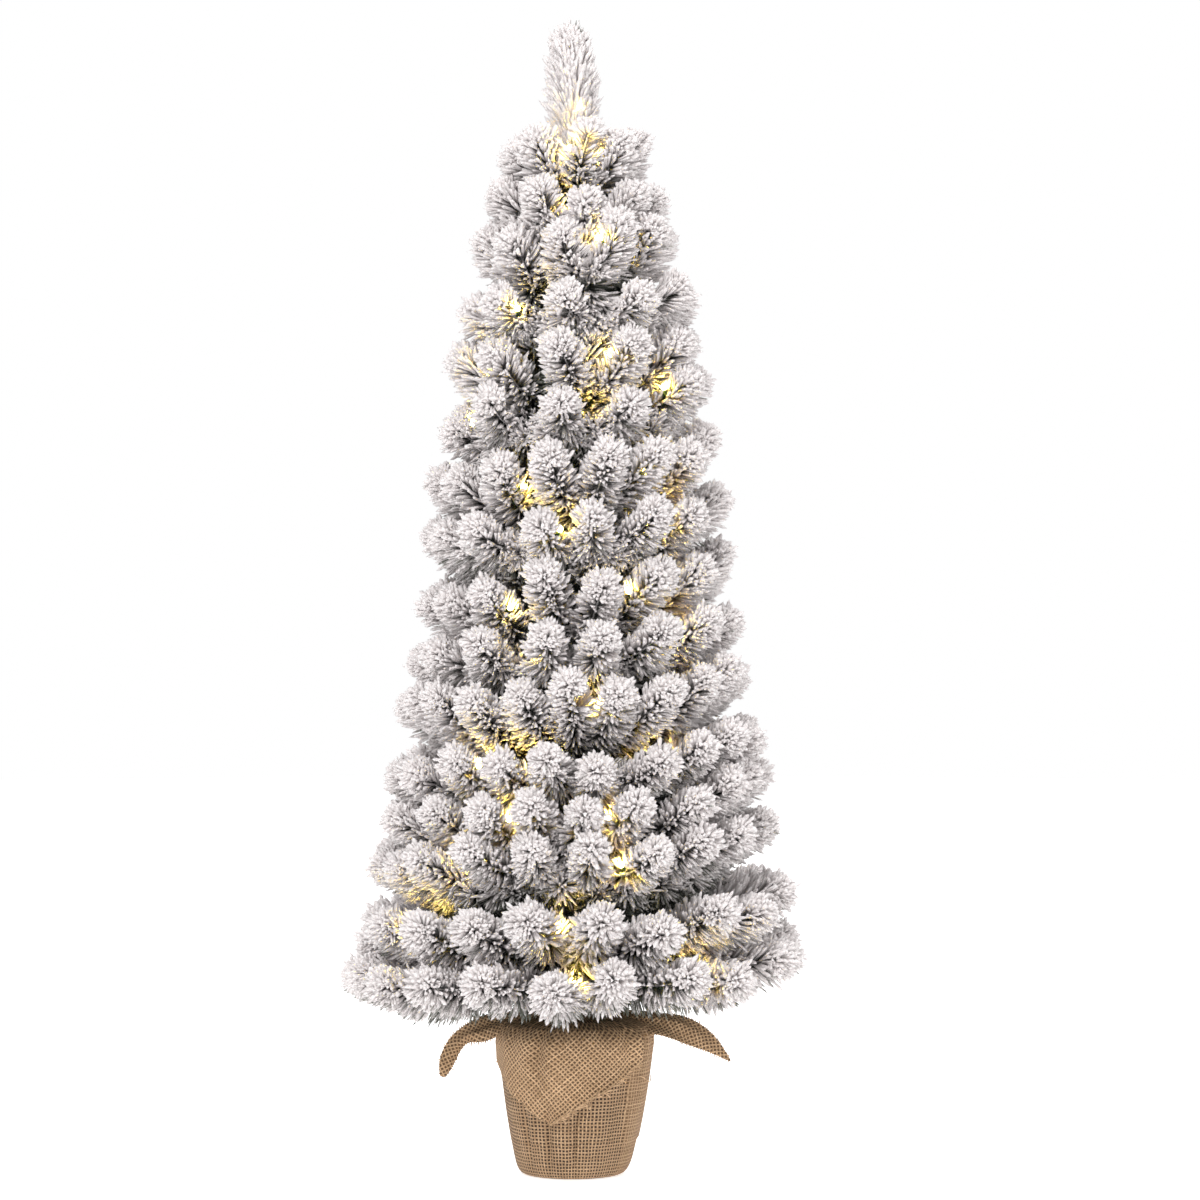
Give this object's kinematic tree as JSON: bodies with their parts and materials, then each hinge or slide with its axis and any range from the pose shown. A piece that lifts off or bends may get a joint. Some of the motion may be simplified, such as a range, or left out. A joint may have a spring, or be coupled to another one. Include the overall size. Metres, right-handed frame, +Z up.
{
  "type": "artificial tabletop tree",
  "caption": "Slim snow-flocked artificial tree in a burlap-wrapped pot, with folding branch sprays on hinge hubs, a two-part trunk and a string of warm lights.",
  "frame": {"origin": "centre of the pot's flat underside, on the surface it stands on", "axes": "+Z up along the trunk, -Y towards the front, where a corner of the burlap hangs over the pot"},
  "size_m": [0.4672, 0.4619, 1.2053],
  "materials": {
    "foliage": "white flock over dark green PVC needles, matte",
    "hub": "moulded dark green, matte",
    "trunk": "dark green paint on steel tube, satin",
    "pot_plastic": "moulded dark brown, matte",
    "ballast": "cast cement, rough",
    "burlap": "open plain weave of coarse jute, matte",
    "twine": "twisted jute, matte",
    "wire": "dark green PVC insulation"
  },
  "bodies": {
    "pot": {"burlap_wrap": "burlap", "twine_tie": "twine", "pot_shell": "pot_plastic", "ballast": "ballast", "trunk_socket": "pot_plastic"},
    "lower_tree": {"lower_trunk": "trunk", "hinge_hub_1": "hub", "hinge_hub_2": "hub", "hinge_hub_3": "hub", "hinge_hub_4": "hub", "light_wire_lower": "wire", "string_socket": "wire"},
    "upper_tree": {"upper_trunk": "trunk", "hinge_hub_5": "hub", "hinge_hub_6": "hub", "hinge_hub_7": "hub", "light_wire_upper": "wire", "string_plug": "wire", "crown_ring_1": "foliage", "crown_ring_2": "foliage", "leader_tip": "foliage"},
    "spray_1_1": {"spray_1_1": "foliage"},
    "spray_1_2": {"spray_1_2": "foliage"},
    "spray_1_3": {"spray_1_3": "foliage"},
    "spray_1_4": {"spray_1_4": "foliage"},
    "spray_1_5": {"spray_1_5": "foliage"},
    "spray_2_1": {"spray_2_1": "foliage"},
    "spray_2_2": {"spray_2_2": "foliage"},
    "spray_2_3": {"spray_2_3": "foliage"},
    "spray_2_4": {"spray_2_4": "foliage"},
    "spray_2_5": {"spray_2_5": "foliage"},
    "spray_3_1": {"spray_3_1": "foliage"},
    "spray_3_2": {"spray_3_2": "foliage"},
    "spray_3_3": {"spray_3_3": "foliage"},
    "spray_3_4": {"spray_3_4": "foliage"},
    "spray_3_5": {"spray_3_5": "foliage"},
    "spray_4_1": {"spray_4_1": "foliage"},
    "spray_4_2": {"spray_4_2": "foliage"},
    "spray_4_3": {"spray_4_3": "foliage"},
    "spray_4_4": {"spray_4_4": "foliage"},
    "spray_4_5": {"spray_4_5": "foliage"},
    "spray_5_1": {"spray_5_1": "foliage"},
    "spray_5_2": {"spray_5_2": "foliage"},
    "spray_5_3": {"spray_5_3": "foliage"},
    "spray_5_4": {"spray_5_4": "foliage"},
    "spray_5_5": {"spray_5_5": "foliage"},
    "spray_6_1": {"spray_6_1": "foliage"},
    "spray_6_2": {"spray_6_2": "foliage"},
    "spray_6_3": {"spray_6_3": "foliage"},
    "spray_6_4": {"spray_6_4": "foliage"},
    "spray_6_5": {"spray_6_5": "foliage"},
    "spray_7_1": {"spray_7_1": "foliage"},
    "spray_7_2": {"spray_7_2": "foliage"},
    "spray_7_3": {"spray_7_3": "foliage"},
    "spray_7_4": {"spray_7_4": "foliage"},
    "spray_7_5": {"spray_7_5": "foliage"}
  },
  "joints": [
    {"name": "trunk_turn", "type": "hinge", "parent": "pot", "child": "lower_tree", "pos_m": [0, 0, 0.1715], "axis": [0, 0, 1], "continuous": true},
    {"name": "upper_lift", "type": "slide", "parent": "lower_tree", "child": "upper_tree", "axis": [0, 0, 1], "range_m": [0, 0.09]},
    {"name": "fold_1_1", "type": "hinge", "parent": "lower_tree", "child": "spray_1_1", "pos_m": [0, -0.0202, 0.2298], "axis": [-1, 0, 0], "range_deg": [0, 30]},
    {"name": "fold_1_2", "type": "hinge", "parent": "lower_tree", "child": "spray_1_2", "pos_m": [0.01921, -0.00624, 0.2298], "axis": [-0.309, -0.9511, 0], "range_deg": [0, 30]},
    {"name": "fold_1_3", "type": "hinge", "parent": "lower_tree", "child": "spray_1_3", "pos_m": [0.01187, 0.01634, 0.2298], "axis": [0.809, -0.5878, 0], "range_deg": [0, 30]},
    {"name": "fold_1_4", "type": "hinge", "parent": "lower_tree", "child": "spray_1_4", "pos_m": [-0.01187, 0.01634, 0.2298], "axis": [0.809, 0.5878, 0], "range_deg": [0, 30]},
    {"name": "fold_1_5", "type": "hinge", "parent": "lower_tree", "child": "spray_1_5", "pos_m": [-0.01921, -0.00624, 0.2298], "axis": [-0.309, 0.9511, 0], "range_deg": [0, 30]},
    {"name": "fold_2_1", "type": "hinge", "parent": "lower_tree", "child": "spray_2_1", "pos_m": [-0.00176, -0.02012, 0.32655], "axis": [-0.9962, 0.0872, 0], "range_deg": [0, 22.8]},
    {"name": "fold_2_2", "type": "hinge", "parent": "lower_tree", "child": "spray_2_2", "pos_m": [0.01859, -0.00789, 0.32655], "axis": [-0.3907, -0.9205, 0], "range_deg": [0, 22.8]},
    {"name": "fold_2_3", "type": "hinge", "parent": "lower_tree", "child": "spray_2_3", "pos_m": [0.01325, 0.01524, 0.32655], "axis": [0.7547, -0.6561, 0], "range_deg": [0, 22.8]},
    {"name": "fold_2_4", "type": "hinge", "parent": "lower_tree", "child": "spray_2_4", "pos_m": [-0.0104, 0.01732, 0.32655], "axis": [0.8572, 0.515, 0], "range_deg": [0, 22.8]},
    {"name": "fold_2_5", "type": "hinge", "parent": "lower_tree", "child": "spray_2_5", "pos_m": [-0.01968, -0.00454, 0.32655], "axis": [-0.225, 0.9744, 0], "range_deg": [0, 22.8]},
    {"name": "fold_3_1", "type": "hinge", "parent": "lower_tree", "child": "spray_3_1", "pos_m": [0.00141, -0.02015, 0.43403], "axis": [-0.9976, -0.0698, 0], "range_deg": [0, 21.6]},
    {"name": "fold_3_2", "type": "hinge", "parent": "lower_tree", "child": "spray_3_2", "pos_m": [0.0196, -0.00489, 0.43403], "axis": [-0.2419, -0.9703, 0], "range_deg": [0, 21.6]},
    {"name": "fold_3_3", "type": "hinge", "parent": "lower_tree", "child": "spray_3_3", "pos_m": [0.0107, 0.01713, 0.43403], "axis": [0.848, -0.5299, 0], "range_deg": [0, 21.6]},
    {"name": "fold_3_4", "type": "hinge", "parent": "lower_tree", "child": "spray_3_4", "pos_m": [-0.01298, 0.01547, 0.43403], "axis": [0.766, 0.6428, 0], "range_deg": [0, 21.6]},
    {"name": "fold_3_5", "type": "hinge", "parent": "lower_tree", "child": "spray_3_5", "pos_m": [-0.01873, -0.00757, 0.43403], "axis": [-0.3746, 0.9272, 0], "range_deg": [0, 21.6]},
    {"name": "fold_4_1", "type": "hinge", "parent": "lower_tree", "child": "spray_4_1", "pos_m": [0.00385, -0.01983, 0.55247], "axis": [-0.9816, -0.1908, 0], "range_deg": [0, 27]},
    {"name": "fold_4_2", "type": "hinge", "parent": "lower_tree", "child": "spray_4_2", "pos_m": [0.02005, -0.00246, 0.55247], "axis": [-0.1219, -0.9925, 0], "range_deg": [0, 27]},
    {"name": "fold_4_3", "type": "hinge", "parent": "lower_tree", "child": "spray_4_3", "pos_m": [0.00854, 0.01831, 0.55247], "axis": [0.9063, -0.4226, 0], "range_deg": [0, 27]},
    {"name": "fold_4_4", "type": "hinge", "parent": "lower_tree", "child": "spray_4_4", "pos_m": [-0.01477, 0.01378, 0.55247], "axis": [0.682, 0.7314, 0], "range_deg": [0, 27]},
    {"name": "fold_4_5", "type": "hinge", "parent": "lower_tree", "child": "spray_4_5", "pos_m": [-0.01767, -0.00979, 0.55247], "axis": [-0.4848, 0.8746, 0], "range_deg": [0, 27]},
    {"name": "fold_5_1", "type": "hinge", "parent": "upper_tree", "child": "spray_5_1", "pos_m": [0.00403, -0.01979, 0.68019], "axis": [-0.9799, -0.1994, 0], "range_deg": [0, 27]},
    {"name": "fold_5_2", "type": "hinge", "parent": "upper_tree", "child": "spray_5_2", "pos_m": [0.02007, -0.00229, 0.68019], "axis": [-0.1132, -0.9936, 0], "range_deg": [0, 27]},
    {"name": "fold_5_3", "type": "hinge", "parent": "upper_tree", "child": "spray_5_3", "pos_m": [0.00838, 0.01838, 0.68019], "axis": [0.91, -0.4147, 0], "range_deg": [0, 27]},
    {"name": "fold_5_4", "type": "hinge", "parent": "upper_tree", "child": "spray_5_4", "pos_m": [-0.01489, 0.01365, 0.68019], "axis": [0.6756, 0.7373, 0], "range_deg": [0, 27]},
    {"name": "fold_5_5", "type": "hinge", "parent": "upper_tree", "child": "spray_5_5", "pos_m": [-0.01758, -0.00995, 0.68019], "axis": [-0.4924, 0.8704, 0], "range_deg": [0, 27]},
    {"name": "fold_6_1", "type": "hinge", "parent": "upper_tree", "child": "spray_6_1", "pos_m": [0.00437, -0.01972, 0.80684], "axis": [-0.9763, -0.2164, 0], "range_deg": [0, 30]},
    {"name": "fold_6_2", "type": "hinge", "parent": "upper_tree", "child": "spray_6_2", "pos_m": [0.02011, -0.00194, 0.80684], "axis": [-0.0958, -0.9954, 0], "range_deg": [0, 30]},
    {"name": "fold_6_3", "type": "hinge", "parent": "upper_tree", "child": "spray_6_3", "pos_m": [0.00805, 0.01852, 0.80684], "axis": [0.9171, -0.3987, 0], "range_deg": [0, 30]},
    {"name": "fold_6_4", "type": "hinge", "parent": "upper_tree", "child": "spray_6_4", "pos_m": [-0.01513, 0.01338, 0.80684], "axis": [0.6626, 0.749, 0], "range_deg": [0, 30]},
    {"name": "fold_6_5", "type": "hinge", "parent": "upper_tree", "child": "spray_6_5", "pos_m": [-0.01741, -0.01025, 0.80684], "axis": [-0.5075, 0.8616, 0], "range_deg": [0, 30]},
    {"name": "fold_7_1", "type": "hinge", "parent": "upper_tree", "child": "spray_7_1", "pos_m": [0.00446, -0.0197, 0.92821], "axis": [-0.9753, -0.2207, 0], "range_deg": [0, 24]},
    {"name": "fold_7_2", "type": "hinge", "parent": "upper_tree", "child": "spray_7_2", "pos_m": [0.02012, -0.00185, 0.92821], "axis": [-0.0915, -0.9958, 0], "range_deg": [0, 24]},
    {"name": "fold_7_3", "type": "hinge", "parent": "upper_tree", "child": "spray_7_3", "pos_m": [0.00797, 0.01856, 0.92821], "axis": [0.9188, -0.3947, 0], "range_deg": [0, 24]},
    {"name": "fold_7_4", "type": "hinge", "parent": "upper_tree", "child": "spray_7_4", "pos_m": [-0.01519, 0.01332, 0.92821], "axis": [0.6593, 0.7518, 0], "range_deg": [0, 24]},
    {"name": "fold_7_5", "type": "hinge", "parent": "upper_tree", "child": "spray_7_5", "pos_m": [-0.01736, -0.01033, 0.92821], "axis": [-0.5113, 0.8594, 0], "range_deg": [0, 24]}
  ],
  "couplings": [
    {"joint": "fold_1_2", "follows": "fold_1_1", "ratio": 1},
    {"joint": "fold_1_3", "follows": "fold_1_1", "ratio": 1},
    {"joint": "fold_1_4", "follows": "fold_1_1", "ratio": 1},
    {"joint": "fold_1_5", "follows": "fold_1_1", "ratio": 1},
    {"joint": "fold_2_1", "follows": "fold_1_1", "ratio": 0.76},
    {"joint": "fold_2_2", "follows": "fold_1_1", "ratio": 0.76},
    {"joint": "fold_2_3", "follows": "fold_1_1", "ratio": 0.76},
    {"joint": "fold_2_4", "follows": "fold_1_1", "ratio": 0.76},
    {"joint": "fold_2_5", "follows": "fold_1_1", "ratio": 0.76},
    {"joint": "fold_3_1", "follows": "fold_1_1", "ratio": 0.72},
    {"joint": "fold_3_2", "follows": "fold_1_1", "ratio": 0.72},
    {"joint": "fold_3_3", "follows": "fold_1_1", "ratio": 0.72},
    {"joint": "fold_3_4", "follows": "fold_1_1", "ratio": 0.72},
    {"joint": "fold_3_5", "follows": "fold_1_1", "ratio": 0.72},
    {"joint": "fold_4_1", "follows": "fold_1_1", "ratio": 0.9},
    {"joint": "fold_4_2", "follows": "fold_1_1", "ratio": 0.9},
    {"joint": "fold_4_3", "follows": "fold_1_1", "ratio": 0.9},
    {"joint": "fold_4_4", "follows": "fold_1_1", "ratio": 0.9},
    {"joint": "fold_4_5", "follows": "fold_1_1", "ratio": 0.9},
    {"joint": "fold_5_1", "follows": "fold_1_1", "ratio": 0.9},
    {"joint": "fold_5_2", "follows": "fold_1_1", "ratio": 0.9},
    {"joint": "fold_5_3", "follows": "fold_1_1", "ratio": 0.9},
    {"joint": "fold_5_4", "follows": "fold_1_1", "ratio": 0.9},
    {"joint": "fold_5_5", "follows": "fold_1_1", "ratio": 0.9},
    {"joint": "fold_6_1", "follows": "fold_1_1", "ratio": 1},
    {"joint": "fold_6_2", "follows": "fold_1_1", "ratio": 1},
    {"joint": "fold_6_3", "follows": "fold_1_1", "ratio": 1},
    {"joint": "fold_6_4", "follows": "fold_1_1", "ratio": 1},
    {"joint": "fold_6_5", "follows": "fold_1_1", "ratio": 1},
    {"joint": "fold_7_1", "follows": "fold_1_1", "ratio": 0.8},
    {"joint": "fold_7_2", "follows": "fold_1_1", "ratio": 0.8},
    {"joint": "fold_7_3", "follows": "fold_1_1", "ratio": 0.8},
    {"joint": "fold_7_4", "follows": "fold_1_1", "ratio": 0.8},
    {"joint": "fold_7_5", "follows": "fold_1_1", "ratio": 0.8}
  ]
}
